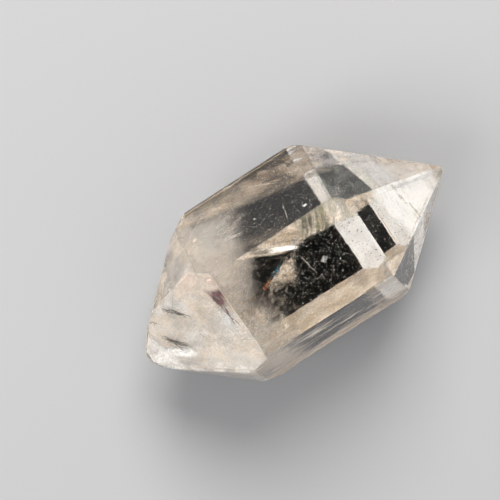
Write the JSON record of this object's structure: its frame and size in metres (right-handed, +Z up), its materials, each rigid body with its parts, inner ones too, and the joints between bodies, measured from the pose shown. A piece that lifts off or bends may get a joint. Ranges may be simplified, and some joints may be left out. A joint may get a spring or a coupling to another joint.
{
  "type": "herkimer diamond",
  "caption": "Doubly terminated clear quartz crystal with flat prism faces, a tip at each end, worn edges and shallow growth steps; it rests on a prism face.",
  "frame": {"origin": "in the prism face that the crystal rests on, under the middle of the crystal", "axes": "+X along the crystal's long axis towards its right tip, +Z up, out of the prism face opposite the rest face"},
  "size_m": [0.0337, 0.019, 0.0159],
  "materials": {
    "clear_quartz": "glassy natural crystal faces, faintly warm, with worn edges"
  },
  "bodies": {
    "root": {"crystal": "clear_quartz"}
  },
  "joints": []
}
